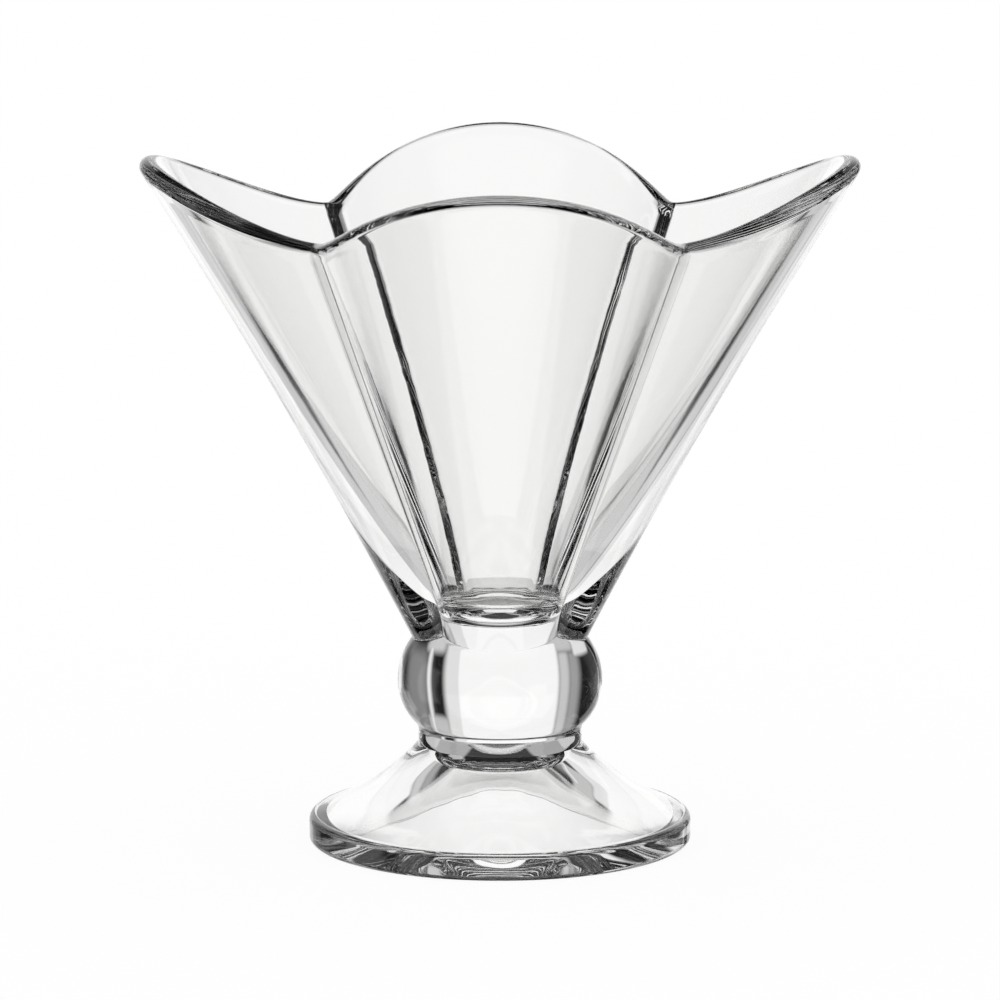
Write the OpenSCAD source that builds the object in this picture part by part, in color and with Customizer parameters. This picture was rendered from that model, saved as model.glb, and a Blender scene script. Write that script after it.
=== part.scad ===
// Footed parfait glass of clear pressed glass: a flared bowl with four petals,
// a round knop, a plain collar and a hollow-bottomed foot, each a solid of its own.
// Units are millimetres, +Z is up, and the origin is the middle of the resting face.

/* [Foot] */
// Widest diameter of the foot
foot_d = 63.5; // [56:0.5:76]
// Height of the foot, from the table to the collar
foot_h = 16.5; // [13:0.5:24]
// Height of the foot's rim
foot_rim_h = 4.7; // [4:0.1:8]
// Radius of the upper edge of the foot's rim
foot_edge_r = 1.2; // [0.6:0.1:2.4]
// Radius of the lower edge of the foot's rim
foot_sole_r = 0.9; // [0.4:0.1:1.4]
// Width of the flat ring that rests on the table
foot_ring_w = 3.6; // [2:0.1:6]
// Height of the hollow under the foot
hollow_h = 11.5; // [8:0.5:12]
// Diameter of the flat top of the hollow
hollow_top_d = 14.4; // [8:0.1:18]
// Radius of the corner round the hollow's top
hollow_corner_r = 2; // [1:0.1:3]
// Lean of the hollow's wall from the vertical below that corner, in degrees
hollow_lean = 45; // [35:1:50]
// Height up to which the hollow's wall flares towards the resting ring
hollow_flare_h = 3.5; // [2:0.1:5]

/* [Collar] */
// Diameter of the collar
collar_d = 27.1; // [24:0.1:28]
// Height of the collar
collar_h = 2.1; // [1:0.1:5]

/* [Knop] */
// Widest diameter of the knop
knop_d = 34; // [31:0.5:40]
// Radius of the knop's outline above its widest place
knop_upper_r = 11.5; // [9:0.1:15]
// Radius of the knop's outline below its widest place
knop_lower_r = 9.8; // [8:0.1:12]
// Radius of the hollow fillet between knop and collar
knop_fillet_r = 2.2; // [1:0.1:3]
// Diameter of the neck, where the knop meets the bowl
neck_d = 29; // [27:0.1:30]

/* [Bowl] */
// Height of the bowl, from the neck to the tips of the petals
bowl_h = 79.8; // [65:0.1:95]
// How far the rim dips between the petals
rim_dip = 10.8; // [5:0.1:16]
// Lean of a petal from the vertical at the neck, in degrees
petal_lean_neck = 27.2; // [26:0.1:30]
// Lean of a petal from the vertical at its tip, in degrees
petal_lean_tip = 32.2; // [30:0.1:36]
// Lean of the creases between the petals from the vertical, in degrees
crease_lean = 25.3; // [23:0.1:26]
// Depth of the creases where they run out on the knop
crease_neck_depth = 1.6; // [0.8:0.1:3]
// Height above the neck at which the creases begin to lean out
crease_start = 3.9; // [2:0.1:8]
// Radius over which that lean sets in
crease_fade = 1.5; // [0.5:0.1:4]
// Thickness of the wall at the rim
rim_t = 3; // [2.2:0.1:4]
// Thickness that the wall grows to at the neck
base_wall_t = 8.5; // [6:0.1:9]
// Height over which the wall thins out above the neck
base_wall_h = 22; // [10:1:30]
// Thickness of the glass between a crease and the ridge inside it, before the ridge is rounded
ridge_t = 5.5; // [4.5:0.1:6.5]
// Thickness of the solid glass between the neck and the bottom of the bowl's inside
floor_t = 5.2; // [3:0.1:8]
// Height over which the inside rounds into its bottom
floor_round_h = 5; // [3:0.1:12]

/* [Hidden] */
glass_colour = [0.87, 0.93, 0.92, 0.5];

// Steps of the round surfaces
turn_steps = 96;
arc_steps = 14;
curve_steps = 20;
$fn = turn_steps;

// Radii and heights of the joints between the pieces
foot_r = foot_d / 2;
collar_r = collar_d / 2;
knop_r = knop_d / 2;
neck_r = neck_d / 2;
knop_lower_x = knop_r - knop_lower_r;
knop_upper_x = knop_r - knop_upper_r;
knop_fillet_x = collar_r + knop_fillet_r;
knop_drop = sqrt(pow(knop_lower_r + knop_fillet_r, 2) - pow(knop_fillet_x - knop_lower_x, 2));
knop_rise = sqrt(pow(knop_upper_r, 2) - pow(neck_r - knop_upper_x, 2));
collar_z = foot_h;
knop_z = collar_z + collar_h;
knop_waist_z = knop_z + knop_drop;
neck_z = knop_waist_z + knop_rise;

// Place of the bend in the foot's flank, across and down
flank_bend_shares = [0.4, 0.65];

// Petals of the bowl
petals = 4;
petal_half = 180 / petals;
// Rounding of the crease outside and of the ridge inside, in degrees about the axis
crease_soft = 0.4;
ridge_soft = 5;
// Most that the ridges' radius may come to, as a share of the radius inside the petals
ridge_most_share = 0.94;
// How square the arch of each petal's rim is, and how square the bowl's bottom is
rim_arch_power = 1.7;
floor_power = 2 / 3;
// Rings of points close above the neck, from there to the rim, round the lip, down the inside
// and over its bottom
neck_rings = 4;
wall_rings = 10;
lip_rings = 7;
floor_rings = 6;
wall_ring_power = 1.2;

lip_r = rim_t / 2;
tan_neck = tan(petal_lean_neck);
tan_tip = tan(petal_lean_tip);
tan_crease = tan(crease_lean);
floor_z = floor_t;
floor_top_z = floor_t + floor_round_h;

// Points of an arc about a centre, from one angle to another
function arc(x, z, r, from, to) =
    [for (i = [0:arc_steps]) let (a = from + (to - from) * i / arc_steps) [x + r * cos(a), z + r * sin(a)]];

// Points of a smooth curve from p to q that leaves and arrives along the lines to the bend b
function curve(p, b, q) =
    [for (i = [0:curve_steps]) let (t = i / curve_steps)
        p * pow(1 - t, 2) + b * 2 * t * (1 - t) + q * pow(t, 2)];

// Radius of a petal's middle at a height above the neck
function petal_r(z) = neck_r + tan_neck * z + (tan_tip - tan_neck) * z * z / (2 * bowl_h);

// A value that rises from nothing to x, smoothly, as x passes zero
function ramp(x) = (x + sqrt(x * x + crease_fade * crease_fade)) / 2;

// Radius of the creases at a height above the neck
function crease_r(z) = neck_r - crease_neck_depth
    + ramp(tan_crease * (z - crease_start)) - ramp(-tan_crease * crease_start);

// Radius of the knop's round, carried on to a height above the neck
function knop_round_r(z) = knop_upper_x + sqrt(max(pow(knop_upper_r, 2) - pow(knop_rise + z, 2), 0));

// Angle from the middle of the nearest petal, rounded off near the creases
function petal_angle(turn, soft) =
    let (off = abs((turn + petal_half) % (2 * petal_half) - petal_half), left = petal_half - off)
    petal_half - sqrt(left * left + soft * soft) * petal_half / sqrt(petal_half * petal_half + soft * soft);

// Radius at a turn of round lobes that reach p at the petals and c at the creases
function lobes_r(turn, p, c, soft) =
    let (x = (p * p - c * c) / (2 * (p - c * cos(petal_half))), t = petal_angle(turn, soft))
    x * cos(t) + sqrt(pow(p - x, 2) - pow(x * sin(t), 2));

// Thickness of the wall along the level at a height above the neck
function level_t(z) = (rim_t + (base_wall_t - rim_t) * exp(-z / base_wall_h)) / cos(petal_lean_tip);
function outside_r(turn, z) = max(lobes_r(turn, petal_r(z), crease_r(z), crease_soft), knop_round_r(z));
function inside_r(turn, z) =
    let (p = petal_r(z) - level_t(z), most = ridge_most_share * p, c = crease_r(z) - ridge_t)
    lobes_r(turn, p, most - ramp(most - c), ridge_soft);

// Height of the middle of the round lip, which arches over each petal
function lip_z(turn) =
    bowl_h - lip_r - rim_dip * (1 - pow(max(cos(petal_angle(turn, 0) * 90 / petal_half), 0), rim_arch_power));

function neck_point(turn, share) = let (z = share * crease_start) [outside_r(turn, z), z];
function outer_point(turn, share) =
    let (top = lip_z(turn) - lip_r * sin(petal_lean_tip), z = crease_start + share * (top - crease_start))
    [outside_r(turn, z), z];
function inner_point(turn, share) =
    let (top = lip_z(turn) + lip_r * sin(petal_lean_tip), z = top + share * (floor_top_z - top))
    [inside_r(turn, z), z];
function lip_point(turn, share) =
    let (z = lip_z(turn), o = outside_r(turn, z), i = inside_r(turn, z), a = 180 * share - petal_lean_tip)
    [(o + i) / 2 + cos(a) * cos(petal_lean_tip) * (o - i) / 2, z + lip_r * sin(a)];
function floor_point(turn, share) =
    let (a = 90 * share, z = floor_top_z + (floor_z - floor_top_z) * pow(sin(a), floor_power))
    [inside_r(turn, z) * pow(cos(a), floor_power), z];

// Section of the bowl at a turn: up the outside, over the lip, down the inside and in over its bottom
function bowl_section(turn) = concat(
    [for (i = [0:neck_rings - 1]) neck_point(turn, i / neck_rings)],
    [for (i = [0:wall_rings - 1]) outer_point(turn, pow(i / wall_rings, wall_ring_power))],
    [for (i = [0:lip_rings]) lip_point(turn, i / lip_rings)],
    [for (i = [1:wall_rings - 1]) inner_point(turn, i / wall_rings)],
    [for (i = [0:floor_rings - 1]) floor_point(turn, i / floor_rings)]);

function foot_outline() =
    let (edge_x = foot_r - foot_edge_r, top = [collar_r, foot_h], end = [edge_x, foot_rim_h],
         bend = [top[0] + (end[0] - top[0]) * flank_bend_shares[0],
                 top[1] + (end[1] - top[1]) * flank_bend_shares[1]],
         ring_in = foot_r - foot_sole_r - foot_ring_w,
         corner = [hollow_top_d / 2, hollow_h - hollow_corner_r],
         wall_top = corner + hollow_corner_r * [cos(hollow_lean), sin(hollow_lean)],
         flare = [wall_top[0] + (wall_top[1] - hollow_flare_h) * tan(hollow_lean), hollow_flare_h])
    concat([[0, foot_h]],
        curve(top, bend, end),
        arc(edge_x, foot_rim_h - foot_edge_r, foot_edge_r, 90, 0),
        arc(foot_r - foot_sole_r, foot_sole_r, foot_sole_r, 0, -90),
        curve([ring_in, 0], flare, wall_top),
        arc(corner[0], corner[1], hollow_corner_r, hollow_lean, 90),
        [[0, hollow_h]]);

function knop_outline() =
    let (meet = atan2(knop_drop, knop_fillet_x - knop_lower_x))
    concat([[0, knop_z]],
        arc(knop_fillet_x, knop_z, knop_fillet_r, 180, 180 - meet),
        arc(knop_lower_x, knop_waist_z, knop_lower_r, -meet, 0),
        arc(knop_upper_x, knop_waist_z, knop_upper_r, 0, asin(knop_rise / knop_upper_r)),
        [[0, neck_z]]);

// A solid made of sections turned about the axis, with a flat bottom and a closed inside
module turned_sections(sections, bottom_z) {
    turns = len(sections);
    rings = len(sections[0]);
    points = concat(
        [for (j = [0:rings - 1]) for (i = [0:turns - 1])
            let (a = 360 * i / turns, p = sections[i][j]) [p[0] * cos(a), p[0] * sin(a), p[1]]],
        [[0, 0, bottom_z]]);
    faces = concat(
        [[for (i = [0:turns - 1]) i]],
        [for (j = [0:rings - 2]) for (i = [0:turns - 1])
            [j * turns + i, (j + 1) * turns + i, (j + 1) * turns + (i + 1) % turns]],
        [for (j = [0:rings - 2]) for (i = [0:turns - 1])
            [j * turns + i, (j + 1) * turns + (i + 1) % turns, j * turns + (i + 1) % turns]],
        [for (i = [0:turns - 1])
            [(rings - 1) * turns + i, rings * turns, (rings - 1) * turns + (i + 1) % turns]]);
    polyhedron(points, faces);
}

module foot() { color(glass_colour) rotate_extrude() polygon(foot_outline()); }

module collar() { color(glass_colour) translate([0, 0, collar_z]) cylinder(r = collar_r, h = collar_h); }

module knop() { color(glass_colour) rotate_extrude() polygon(knop_outline()); }

module bowl() {
    color(glass_colour) translate([0, 0, neck_z])
        turned_sections([for (i = [0:turn_steps - 1]) bowl_section(360 * i / turn_steps)], floor_z);
}

foot();
collar();
knop();
bowl();
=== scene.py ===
"""A clear pressed-glass parfait dish on a plain pale floor: foot, collar, knop and petal bowl."""
import math

import bpy
import numpy as np
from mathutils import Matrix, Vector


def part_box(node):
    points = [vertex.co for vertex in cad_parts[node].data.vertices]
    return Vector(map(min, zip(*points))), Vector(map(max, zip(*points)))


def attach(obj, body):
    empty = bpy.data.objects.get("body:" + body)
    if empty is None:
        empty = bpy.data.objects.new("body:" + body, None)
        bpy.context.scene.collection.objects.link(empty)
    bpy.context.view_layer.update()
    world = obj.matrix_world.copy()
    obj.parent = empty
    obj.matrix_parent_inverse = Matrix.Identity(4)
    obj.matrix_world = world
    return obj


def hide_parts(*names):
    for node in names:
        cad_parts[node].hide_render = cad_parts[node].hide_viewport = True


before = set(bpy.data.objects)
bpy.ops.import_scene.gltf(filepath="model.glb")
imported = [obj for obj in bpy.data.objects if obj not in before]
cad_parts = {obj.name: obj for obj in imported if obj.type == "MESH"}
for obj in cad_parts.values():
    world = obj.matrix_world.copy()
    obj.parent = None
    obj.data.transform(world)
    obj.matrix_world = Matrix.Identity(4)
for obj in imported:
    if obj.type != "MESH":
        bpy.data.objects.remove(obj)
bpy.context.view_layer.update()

# Lengths are in metres, and angles in degrees.
MM = 0.001
HALF_TURN = 180.0

# Points of an outline that are nearer than this count as one
SAME_PLACE = 0.001 * MM

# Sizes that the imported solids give
FOOT_R, FOOT_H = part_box("foot")[1][0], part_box("foot")[1][2]
COLLAR_R, KNOP_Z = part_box("collar")[1][0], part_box("collar")[1][2]
KNOP_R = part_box("knop")[1][0]
NECK_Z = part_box("bowl")[0][2]
BOWL_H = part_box("bowl")[1][2] - NECK_Z

# Foot
FOOT_RIM_H = 4.7 * MM
FOOT_EDGE_R = 1.2 * MM
FOOT_SOLE_R = 0.9 * MM
FOOT_RING_W = 3.6 * MM
HOLLOW_H = 11.5 * MM
HOLLOW_TOP_R = 7.2 * MM
HOLLOW_CORNER_R = 2 * MM
HOLLOW_LEAN = 45.0
HOLLOW_FLARE_H = 3.5 * MM
FLANK_BEND = (0.4, 0.65)

# Knop
KNOP_UPPER_R = 11.5 * MM
KNOP_LOWER_R = 9.8 * MM
KNOP_FILLET_R = 2.2 * MM
NECK_R = 14.5 * MM
KNOP_WAIST_Z = KNOP_Z + math.sqrt((KNOP_LOWER_R + KNOP_FILLET_R) ** 2
                                  - (COLLAR_R + KNOP_FILLET_R - KNOP_R + KNOP_LOWER_R) ** 2)

# Bowl
PETALS = 4
PETAL_HALF = HALF_TURN / PETALS
RIM_DIP = 10.8 * MM
LEAN_NECK = math.tan(math.radians(27.2))
TIP_ANGLE = math.radians(32.2)
LEAN_TIP = math.tan(TIP_ANGLE)
LEAN_CREASE = math.tan(math.radians(25.3))
CREASE_NECK = 1.6 * MM
CREASE_START = 3.9 * MM
CREASE_FADE = 1.5 * MM
CREASE_SOFT = 0.4
RIDGE_SOFT = 5.0
RIDGE_T = 5.5 * MM
RIDGE_MOST_SHARE = 0.94
RIM_T = 3 * MM
BASE_T = 8.5 * MM
BASE_H = 22 * MM
FLOOR_T = 5.2 * MM
FLOOR_ROUND_H = 5 * MM
RIM_ARCH_POWER = 1.7
FLOOR_POWER = 2 / 3
LIP_R = RIM_T / 2
FLOOR_TOP = FLOOR_T + FLOOR_ROUND_H

# Waves that pressing leaves in the glass: their greatest depths, their counts round the axis,
# how fast each climbs, the length of one that climbs at the plain rate, and how far from a joint they fade
FOOT_WAVE = 0.02 * MM
KNOP_WAVE = 0.012 * MM
BOWL_WAVE = 0.004 * MM
WAVE_COUNTS = (5, 9, 14, 23)
WAVE_CLIMBS = (1.0, -0.7, 1.9, 0.4)
WAVE_LENGTH = 9 * MM
WAVE_FADE = 2.5 * MM
BOWL_WAVE_FADE = 14 * MM

# Mesh steps, and how strongly the bowl's crowd towards the creases
TURNS = 256
PETAL_STEPS = 48
ARC_STEPS = 28
CURVE_STEPS = 60
NECK_RINGS = 16
WALL_RINGS = 96
LIP_RINGS = 24
FLOOR_RINGS = 24
CREASE_CROWD = 1.5

# Glass, with the range of the grain over which its shine turns duller
GLASS_TINT = (0.996, 0.999, 0.991, 1)
GLASS_IOR = 1.52
ROUGH_MOST = 0.012
GRAIN = 5 * MM
GRAIN_DEPTH = 0.006 * MM
GRAIN_DETAIL = 2.0
SHINE_FROM = (0.4, 0.7)

# Floor: how much of it is seen as plain white, and half its width
FLOOR_COLOUR = (0.98, 0.98, 0.98, 1)
FLOOR_GLOW = 0.93
FLOOR_HALF = 3.0

# Times that light may bend, mirror or pass on its way through the glass
BEND_BOUNCES = 32
MIRROR_BOUNCES = 16
PASS_BOUNCES = 64

# Camera, as the photograph was taken
CAMERA_BACK = 900 * MM
CAMERA_UP = 208 * MM
CAMERA_PITCH = 9.52
LENS_MM = 199.1
SENSOR_MM = 36.0


# Shapes

def arc(x, z, r, start, stop):
    """Points of an arc about a centre, from one angle to another."""
    a = np.radians(np.linspace(start, stop, ARC_STEPS + 1))
    return np.stack([x + r * np.cos(a), z + r * np.sin(a)], 1)


def curve(p, bend, q):
    """Points of a smooth curve from p to q that leaves and arrives along the lines to the bend."""
    t = np.linspace(0, 1, CURVE_STEPS + 1)[:, None]
    return np.array(p) * (1 - t) ** 2 + np.array(bend) * 2 * t * (1 - t) + np.array(q) * t ** 2


def without_repeats(points):
    """The outline with points that follow each other in one place taken once."""
    step = np.linalg.norm(np.diff(points, axis=0), axis=1)
    return points[np.concatenate([[True], step > SAME_PLACE])]


def foot_outline():
    """Half section of the foot: down its flank and rim, along the sole and up the hollow."""
    edge_x = FOOT_R - FOOT_EDGE_R
    ring_in = FOOT_R - FOOT_SOLE_R - FOOT_RING_W
    bend = (COLLAR_R + (edge_x - COLLAR_R) * FLANK_BEND[0], FOOT_H + (FOOT_RIM_H - FOOT_H) * FLANK_BEND[1])
    corner_z, lean = HOLLOW_H - HOLLOW_CORNER_R, math.radians(HOLLOW_LEAN)
    wall_top = (HOLLOW_TOP_R + HOLLOW_CORNER_R * math.cos(lean), corner_z + HOLLOW_CORNER_R * math.sin(lean))
    flare = (wall_top[0] + (wall_top[1] - HOLLOW_FLARE_H) * math.tan(lean), HOLLOW_FLARE_H)
    return without_repeats(np.concatenate([
        [[0, FOOT_H]],
        curve((COLLAR_R, FOOT_H), bend, (edge_x, FOOT_RIM_H)),
        arc(edge_x, FOOT_RIM_H - FOOT_EDGE_R, FOOT_EDGE_R, 90, 0),
        arc(FOOT_R - FOOT_SOLE_R, FOOT_SOLE_R, FOOT_SOLE_R, 0, -90),
        curve((ring_in, 0), flare, wall_top),
        arc(HOLLOW_TOP_R, corner_z, HOLLOW_CORNER_R, HOLLOW_LEAN, 90),
        [[0, HOLLOW_H]]]))


def collar_outline():
    """Half section of the collar."""
    return np.array([[0, FOOT_H], [COLLAR_R, FOOT_H], [COLLAR_R, KNOP_Z], [0, KNOP_Z]])


def knop_outline():
    """Half section of the knop: a fillet, a lower round and an upper round."""
    lower_x, upper_x = KNOP_R - KNOP_LOWER_R, KNOP_R - KNOP_UPPER_R
    fillet_x, waist = COLLAR_R + KNOP_FILLET_R, KNOP_WAIST_Z
    meet = math.degrees(math.atan2(waist - KNOP_Z, fillet_x - lower_x))
    top = math.degrees(math.asin((NECK_Z - waist) / KNOP_UPPER_R))
    return without_repeats(np.concatenate([
        [[0, KNOP_Z]],
        arc(fillet_x, KNOP_Z, KNOP_FILLET_R, 180, 180 - meet),
        arc(lower_x, waist, KNOP_LOWER_R, -meet, 0),
        arc(upper_x, waist, KNOP_UPPER_R, 0, top),
        [[0, NECK_Z]]]))


def petal_r(z):
    """Radius of a petal's middle at a height above the neck."""
    return NECK_R + LEAN_NECK * z + (LEAN_TIP - LEAN_NECK) * z * z / (2 * BOWL_H)


def ramp(x):
    """A value that rises from nothing to x, smoothly, as x passes zero."""
    return (x + np.sqrt(x * x + CREASE_FADE ** 2)) / 2


def crease_r(z):
    """Radius of the creases at a height above the neck."""
    return NECK_R - CREASE_NECK + ramp(LEAN_CREASE * (z - CREASE_START)) - ramp(-LEAN_CREASE * CREASE_START)


def knop_r(z):
    """Radius of the knop's round, carried on to a height above the neck."""
    rise = NECK_Z - KNOP_WAIST_Z + z
    return KNOP_R - KNOP_UPPER_R + np.sqrt(np.maximum(KNOP_UPPER_R ** 2 - rise ** 2, 0))


def petal_angle(turn, soft):
    """Angle from the middle of the nearest petal, rounded off near the creases."""
    left = PETAL_HALF - abs((turn + PETAL_HALF) % (2 * PETAL_HALF) - PETAL_HALF)
    return PETAL_HALF - np.hypot(left, soft) * PETAL_HALF / math.hypot(PETAL_HALF, soft)


def lobes_r(turn, p, c, soft):
    """Radius at a turn of round lobes that reach p at the petals and c at the creases."""
    lobe_x = (p * p - c * c) / (2 * (p - c * math.cos(math.radians(PETAL_HALF))))
    t = np.radians(petal_angle(turn, soft))
    return lobe_x * np.cos(t) + np.sqrt((p - lobe_x) ** 2 - (lobe_x * np.sin(t)) ** 2)


def wall_t(z):
    """Thickness of the wall along the level at a height above the neck."""
    return (RIM_T + (BASE_T - RIM_T) * np.exp(-z / BASE_H)) / math.cos(TIP_ANGLE)


def outside_r(turn, z):
    """Radius of the bowl's outside, which grows out of the knop."""
    return np.maximum(lobes_r(turn, petal_r(z), crease_r(z), CREASE_SOFT), knop_r(z))


def inside_r(turn, z):
    """Radius of the bowl's inside, with a soft ridge behind each crease."""
    p, c = petal_r(z) - wall_t(z), crease_r(z) - RIDGE_T
    most = RIDGE_MOST_SHARE * p
    return lobes_r(turn, p, most - ramp(most - c), RIDGE_SOFT)


def lip_z(turn):
    """Height of the middle of the round lip, which arches over each petal."""
    arch = np.maximum(np.cos(np.radians(petal_angle(turn, 0) * 90 / PETAL_HALF)), 0) ** RIM_ARCH_POWER
    return BOWL_H - LIP_R - RIM_DIP * (1 - arch)


def bowl_section(turn):
    """Section of the bowl at one turn: up the outside, over the lip, down the inside and over its bottom."""
    lip, drop = lip_z(turn), LIP_R * math.sin(TIP_ANGLE)
    z = np.concatenate([np.linspace(0, CREASE_START, NECK_RINGS, endpoint=False),
                        np.linspace(CREASE_START, lip - drop, WALL_RINGS, endpoint=False)])
    outer = np.stack([outside_r(turn, z), z], 1)
    a = np.linspace(0, math.pi, LIP_RINGS + 1) - TIP_ANGLE
    o, i = outside_r(turn, lip), inside_r(turn, lip)
    over = np.stack([(o + i) / 2 + np.cos(a) * math.cos(TIP_ANGLE) * (o - i) / 2,
                     lip + LIP_R * np.sin(a)], 1)
    z = np.linspace(lip + drop, FLOOR_TOP, WALL_RINGS, endpoint=False)[1:]
    inner = np.stack([inside_r(turn, z), z], 1)
    a = np.linspace(0, math.pi / 2, FLOOR_RINGS, endpoint=False)
    z = FLOOR_TOP + (FLOOR_T - FLOOR_TOP) * np.sin(a) ** FLOOR_POWER
    bottom = np.stack([inside_r(turn, z) * np.cos(a) ** FLOOR_POWER, z], 1)
    return np.concatenate([[[0, 0]], outer, over, inner, bottom, [[0, FLOOR_T]]]) + [0, NECK_Z]


def bowl_turns():
    """Turns about the axis, closer together near the creases."""
    near = PETAL_HALF * (1 - (1 - np.linspace(0, 1, PETAL_STEPS, endpoint=False)) ** CREASE_CROWD)
    half = np.concatenate([near, [PETAL_HALF], (2 * PETAL_HALF - near[:0:-1])])
    return np.concatenate([half + 2 * PETAL_HALF * k for k in range(PETALS)])


# Meshes

def turned(name, turns, sections, joint_rings):
    """A closed mesh of sections set about the axis, each from pole to pole, with its joint faces marked."""
    count, rings = len(turns), sections.shape[1] - 2
    a = np.radians(turns)[:, None]
    ring = sections[:, 1:-1]
    points = np.stack([ring[:, :, 0] * np.cos(a), ring[:, :, 0] * np.sin(a), ring[:, :, 1]], 2)
    points = np.concatenate([points.transpose(1, 0, 2).reshape(-1, 3),
                             [[0, 0, sections[0, 0, 1]], [0, 0, sections[0, -1, 1]]]])
    first, last = rings * count, rings * count + 1
    i = np.arange(count)
    n = (i + 1) % count
    faces = [(int(first), int(q), int(p)) for p, q in zip(i, n)]
    for j in range(rings - 1):
        here, above = j * count, (j + 1) * count
        faces += [(int(here + p), int(here + q), int(above + q), int(above + p)) for p, q in zip(i, n)]
    top = (rings - 1) * count
    faces += [(int(top + p), int(top + q), int(last)) for p, q in zip(i, n)]
    mesh = bpy.data.meshes.new(name)
    mesh.from_pydata(points.tolist(), [], faces)
    mesh.update()
    mesh.polygons.foreach_set("use_smooth", np.ones(len(faces), bool))
    obj = bpy.data.objects.new(name, mesh)
    bpy.context.collection.objects.link(obj)
    mark_joints(mesh, count, rings, joint_rings)
    return obj


def mark_joints(mesh, count, rings, joint_rings):
    """Gives the flat faces at the joints a material slot of their own and a sharp edge."""
    slot = np.zeros(len(mesh.polygons), np.int32)
    if "first" in joint_rings:
        slot[:count] = 1
    if "last" in joint_rings:
        slot[-count:] = 1
    mesh.polygons.foreach_set("material_index", slot)
    ends = np.zeros(2 * len(mesh.edges), np.int32)
    mesh.edges.foreach_get("vertices", ends)
    ring = (ends // count).reshape(-1, 2)
    sharp = np.zeros(len(mesh.edges), bool)
    if "first" in joint_rings:
        sharp |= (ring == 0).all(1)
    if "last" in joint_rings:
        sharp |= (ring == rings - 1).all(1)
    mesh.attributes.new("sharp_edge", "BOOLEAN", "EDGE").data.foreach_set("value", sharp)


def waves(turns, z):
    """Uneven waves between 0 and 1 at turns about the axis and heights."""
    a, up = np.radians(turns)[:, None], 2 * math.pi * z / WAVE_LENGTH
    parts = [np.sin(count * a + climb * up + count) for count, climb in zip(WAVE_COUNTS, WAVE_CLIMBS)]
    return 0.5 + sum(parts) / (2 * len(parts))


def inward(sections):
    """Directions from the sections' points into the glass."""
    along = np.gradient(sections, axis=1)
    along /= np.linalg.norm(along, axis=2, keepdims=True)
    x, z = sections[0].T
    side = np.sign(np.sum(x[:-1] * z[1:] - x[1:] * z[:-1]))
    return side * np.stack([-along[:, :, 1], along[:, :, 0]], 2)


def wavy(turns, sections, depth, joints, fade=WAVE_FADE):
    """The sections with small waves in the glass, which die out towards the joints and the axis."""
    x, z = sections[:, :, 0], sections[:, :, 1]
    keep = np.minimum(x / WAVE_FADE, 1)
    for joint in joints:
        keep = keep * np.minimum(np.abs(z - joint) / fade, 1)
    return sections + inward(sections) * (depth * keep * waves(turns, z))[:, :, None]


def round_piece(name, outline, joint_rings, depth=0.0, joints=()):
    """A closed mesh of an outline turned about the axis."""
    turns = np.arange(TURNS) * 360 / TURNS
    sections = wavy(turns, np.repeat(outline[None], TURNS, 0), depth, joints)
    return turned(name, turns, sections, joint_rings)


# Materials

def glass_material():
    """Clear pressed glass, fire-polished, with a faint unevenness of its surface and its shine."""
    mat = bpy.data.materials.new("clear_glass")
    mat.use_nodes = True
    nodes, link = mat.node_tree.nodes, mat.node_tree.links.new
    shader = nodes["Principled BSDF"]
    shader.inputs["Base Color"].default_value = GLASS_TINT
    shader.inputs["IOR"].default_value = GLASS_IOR
    shader.inputs["Transmission Weight"].default_value = 1.0
    coords = nodes.new("ShaderNodeTexCoord")
    noise = nodes.new("ShaderNodeTexNoise")
    noise.inputs["Scale"].default_value = 1 / GRAIN
    noise.inputs["Detail"].default_value = GRAIN_DETAIL
    link(coords.outputs["Object"], noise.inputs["Vector"])
    shine = nodes.new("ShaderNodeMapRange")
    shine.inputs["From Min"].default_value = SHINE_FROM[0]
    shine.inputs["From Max"].default_value = SHINE_FROM[1]
    shine.inputs["To Max"].default_value = ROUGH_MOST
    link(noise.outputs["Fac"], shine.inputs["Value"])
    link(shine.outputs["Result"], shader.inputs["Roughness"])
    bump = nodes.new("ShaderNodeBump")
    bump.inputs["Strength"].default_value = 1.0
    bump.inputs["Distance"].default_value = GRAIN_DEPTH
    link(noise.outputs["Fac"], bump.inputs["Height"])
    link(bump.outputs["Normal"], shader.inputs["Normal"])
    return mat


def joint_material():
    """Glass that runs on through a joint: light passes it unbent."""
    mat = bpy.data.materials.new("fused_joint")
    mat.use_nodes = True
    nodes = mat.node_tree.nodes
    nodes.remove(nodes["Principled BSDF"])
    clear = nodes.new("ShaderNodeBsdfTransparent")
    mat.node_tree.links.new(clear.outputs[0], nodes["Material Output"].inputs[0])
    return mat


def floor_material():
    """Pale matt floor, most of which is seen as plain white."""
    mat = bpy.data.materials.new("pale_floor")
    mat.use_nodes = True
    tree = mat.node_tree
    tree.nodes.remove(tree.nodes["Principled BSDF"])
    matt = tree.nodes.new("ShaderNodeBsdfDiffuse")
    matt.inputs["Color"].default_value = FLOOR_COLOUR
    glow = tree.nodes.new("ShaderNodeEmission")
    mix = tree.nodes.new("ShaderNodeMixShader")
    mix.inputs[0].default_value = FLOOR_GLOW
    tree.links.new(matt.outputs[0], mix.inputs[1])
    tree.links.new(glow.outputs[0], mix.inputs[2])
    tree.links.new(mix.outputs[0], tree.nodes["Material Output"].inputs[0])
    return mat


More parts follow.
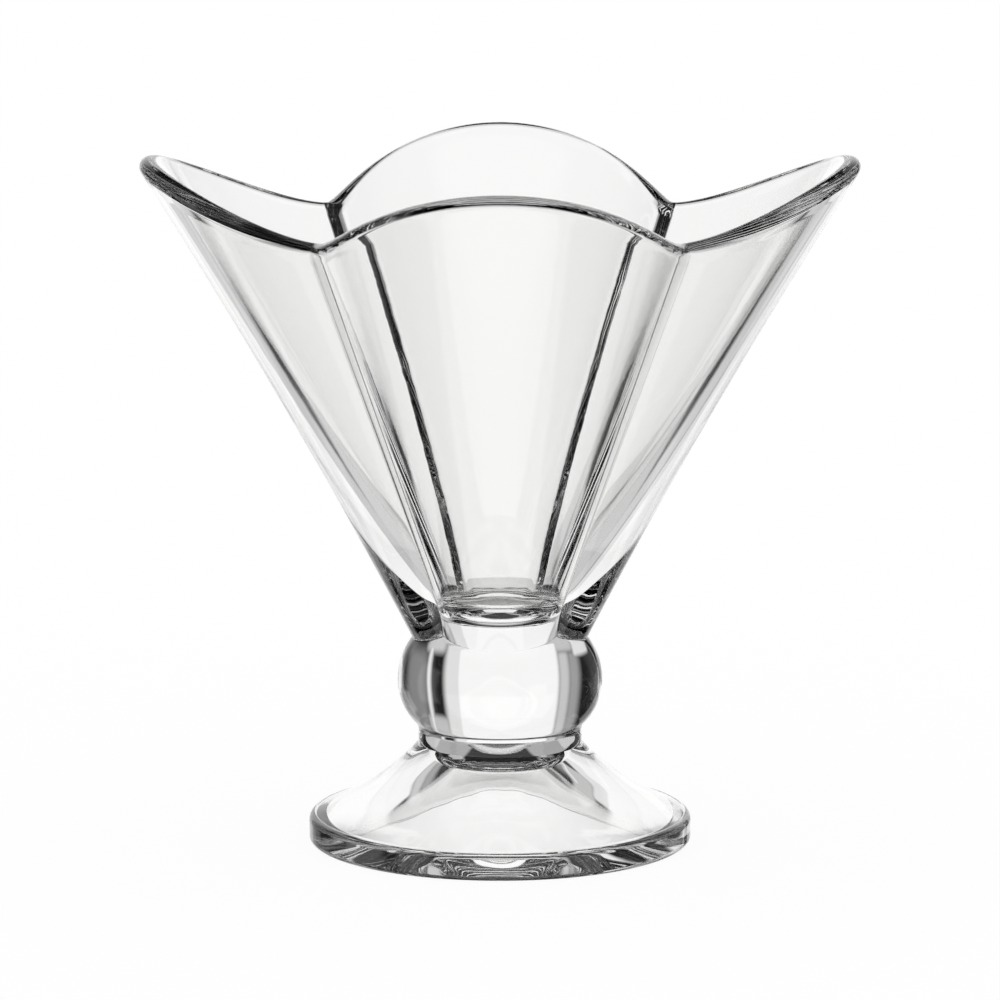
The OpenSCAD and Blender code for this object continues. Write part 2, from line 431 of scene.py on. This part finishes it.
# Surroundings that the glass shows: a white backdrop, grey flats beside it and a pale table in a dark room,
# with panels where the other views look through the glass. Each light's turn is counted from straight behind
# the glass, towards its +X side. Its borders are soft over the edge, or at its sides over side, if given.
LIGHTS = {
    "backdrop": dict(turn=-4.0, half=22.0, low=-34.0, high=32.0, edge=4.0, level=1.0),
    "backdrop_side": dict(turn=19.0, half=5.0, low=-34.0, high=32.0, edge=4.0, level=0.8),
    "table_behind": dict(turn=-1.0, half=25.0, low=-45.0, high=-32.0, edge=4.0, level=0.72),
    "left_near": dict(turn=-29.0, half=4.0, low=-18.0, high=40.0, edge=6.0, level=0.62),
    "left_flat": dict(turn=-36.0, half=5.0, low=-18.0, high=40.0, edge=8.0, level=0.37),
    "right_high": dict(turn=30.0, half=7.0, low=13.0, high=42.0, edge=4.0, level=0.55),
    "right_strip": dict(turn=33.5, half=1.5, low=-20.0, high=30.0, edge=3.0, level=0.85),
    "right_flat": dict(turn=46.0, half=12.0, low=-18.0, high=28.0, edge=14.0, level=0.27),
    "left_table": dict(turn=-31.0, half=7.0, low=-48.0, high=-17.0, edge=6.0, level=0.6),
    "left_table_end": dict(turn=-51.0, half=15.0, low=-48.0, high=-35.5, edge=3.0, level=0.65),
    "right_table": dict(turn=31.0, half=7.0, low=-48.0, high=-17.0, edge=6.0, level=0.65),
    "right_table_end": dict(turn=51.0, half=15.0, low=-48.0, high=-35.5, edge=3.0, level=0.6),
    "left_below": dict(turn=-43.0, half=16.0, low=-95.0, high=-46.0, edge=4.0, level=0.4),
    "right_below": dict(turn=43.0, half=16.0, low=-95.0, high=-46.0, edge=4.0, level=0.4),
    "front_table": dict(turn=180.0, half=64.0, low=-95.0, high=-8.0, edge=6.0, level=0.9),
    "front_ceiling": dict(turn=180.0, half=75.0, low=50.0, high=62.0, edge=6.0, level=0.35, side=40.0),
    "corner_panel": dict(turn=-46.0, half=9.0, low=-30.0, high=-14.0, edge=4.0, level=0.85),
    "side_panel": dict(turn=-90.0, half=15.0, low=-24.0, high=20.0, edge=8.0, level=0.9),
    "back_panel": dict(turn=137.0, half=11.0, low=-20.0, high=9.0, edge=8.0, level=0.9),
}
ROOM_LEVEL = 0.015


def world_light():
    """White to the camera and to matt surfaces; the glass sees the lights of the studio."""
    world = bpy.data.worlds.new("studio")
    bpy.context.scene.world = world
    world.use_nodes = True
    tree = world.node_tree
    link = tree.links.new

    def math_node(kind, a, b=0.0):
        node = tree.nodes.new("ShaderNodeMath")
        node.operation = kind
        for socket, value in zip(node.inputs, (a, b)):
            if isinstance(value, (int, float)):
                socket.default_value = value
            else:
                link(value, socket)
        return node.outputs[0]

    def step(value, low, high):
        node = tree.nodes.new("ShaderNodeMapRange")
        node.interpolation_type = "SMOOTHSTEP"
        link(value, node.inputs["Value"])
        node.inputs["From Min"].default_value = low
        node.inputs["From Max"].default_value = high
        return node.outputs["Result"]

    def lit(across, rise, turn, half, low, high, edge, level, side=None):
        side = side or edge
        off = math_node("ABSOLUTE", math_node("PINGPONG", math_node("SUBTRACT", across, turn), HALF_TURN))
        beside = step(off, half + side / 2, half - side / 2)
        above = step(rise, low - edge / 2, low + edge / 2)
        below = step(rise, high + edge / 2, high - edge / 2)
        within = math_node("MULTIPLY", math_node("MULTIPLY", beside, above), below)
        return math_node("MULTIPLY", within, level)

    coords = tree.nodes.new("ShaderNodeTexCoord")
    xyz = tree.nodes.new("ShaderNodeSeparateXYZ")
    link(coords.outputs["Generated"], xyz.inputs[0])
    across = math_node("DEGREES", math_node("ARCTAN2", xyz.outputs[0], xyz.outputs[1]))
    rise = math_node("DEGREES", math_node("ARCSINE", xyz.outputs[2]))
    bright = None
    for light in LIGHTS.values():
        part = lit(across, rise, **light)
        bright = part if bright is None else math_node("MAXIMUM", bright, part)
    bright = math_node("MAXIMUM", bright, ROOM_LEVEL)
    path = tree.nodes.new("ShaderNodeLightPath")
    seen = math_node("MAXIMUM", path.outputs["Is Glossy Ray"], path.outputs["Is Transmission Ray"])
    dim = math_node("MULTIPLY", seen, math_node("SUBTRACT", 1.0, bright))
    link(math_node("SUBTRACT", 1.0, dim), tree.nodes["Background"].inputs["Strength"])
    tree.nodes["Background"].inputs["Color"].default_value = (1, 1, 1, 1)


# Scene

def dress(piece, *nodes):
    """Sets a piece on its body in place of the solids that it shows."""
    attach(piece, "root")
    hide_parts(*nodes)


def build():
    """Makes the four pieces of the glass."""
    glass, joint = glass_material(), joint_material()
    turns = bowl_turns()
    sections = wavy(turns, np.stack([bowl_section(t) for t in turns]), BOWL_WAVE, (NECK_Z,), BOWL_WAVE_FADE)
    pieces = {
        "foot": round_piece("foot_glass", foot_outline()[::-1], ("last",), FOOT_WAVE, (0, FOOT_H)),
        "collar": round_piece("collar_glass", collar_outline(), ("first", "last")),
        "knop": round_piece("knop_glass", knop_outline(), ("first", "last"), KNOP_WAVE, (KNOP_Z, NECK_Z)),
        "bowl": turned("bowl_glass", turns, sections, ("first",)),
    }
    for node, piece in pieces.items():
        piece.data.materials.append(glass)
        piece.data.materials.append(joint)
        dress(piece, node)


def floor():
    """Makes the floor, which only the camera and matt light see."""
    half = FLOOR_HALF
    corners = [(-half, -half, 0), (half, -half, 0), (half, half, 0), (-half, half, 0)]
    mesh = bpy.data.meshes.new("floor")
    mesh.from_pydata(corners, [], [(0, 1, 2, 3)])
    obj = bpy.data.objects.new("floor", mesh)
    bpy.context.collection.objects.link(obj)
    mesh.materials.append(floor_material())
    obj.visible_transmission = False
    obj.visible_glossy = False


def camera():
    """Makes the camera."""
    data = bpy.data.cameras.new("camera")
    data.lens = LENS_MM
    data.sensor_width = SENSOR_MM
    obj = bpy.data.objects.new("camera", data)
    bpy.context.collection.objects.link(obj)
    obj.location = (0, -CAMERA_BACK, CAMERA_UP)
    obj.rotation_euler = (math.radians(90 - CAMERA_PITCH), 0, 0)
    bpy.context.scene.camera = obj


build()
floor()
camera()
world_light()
scene = bpy.context.scene
scene.view_settings.view_transform = "Standard"
scene.cycles.max_bounces = BEND_BOUNCES
scene.cycles.transmission_bounces = BEND_BOUNCES
scene.cycles.glossy_bounces = MIRROR_BOUNCES
scene.cycles.transparent_max_bounces = PASS_BOUNCES
